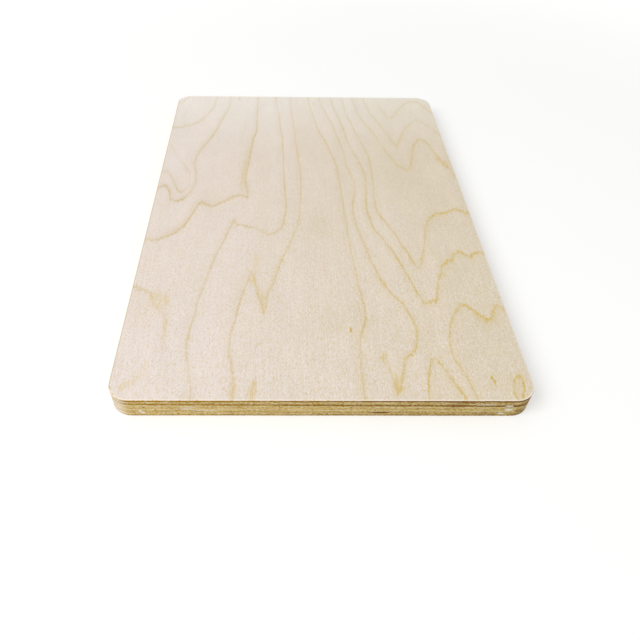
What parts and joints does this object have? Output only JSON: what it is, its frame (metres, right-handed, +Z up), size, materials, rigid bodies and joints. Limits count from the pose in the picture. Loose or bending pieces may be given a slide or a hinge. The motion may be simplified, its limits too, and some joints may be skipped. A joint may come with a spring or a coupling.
{
  "type": "plywood sheet",
  "caption": "Flat cross-laminated plywood sheet with rounded corners and a pale figured face, its glued veneers showing as bands along the sawn edges; stock for panels.",
  "frame": {"origin": "middle of the underside, where the sheet lies on the floor", "axes": "+X across the sheet, +Y along the face grain and the sheet's length, +Z up through the plies towards the face"},
  "size_m": [0.2, 0.3, 0.012],
  "materials": {
    "face_birch": "sanded bare birch veneer, pale cream with fine tan growth rings",
    "crossband_birch": "bare veneer, grain across the sheet, light tan at the short edges",
    "inner_birch": "bare veneer, grain along the sheet, brown end grain at the short edges"
  },
  "bodies": {
    "root": {"face_veneer": "face_birch", "crossband_1": "crossband_birch", "inner_ply_1": "inner_birch", "crossband_2": "crossband_birch", "centre_ply": "inner_birch", "crossband_3": "crossband_birch", "inner_ply_2": "inner_birch", "crossband_4": "crossband_birch", "back_veneer": "face_birch"}
  },
  "joints": []
}
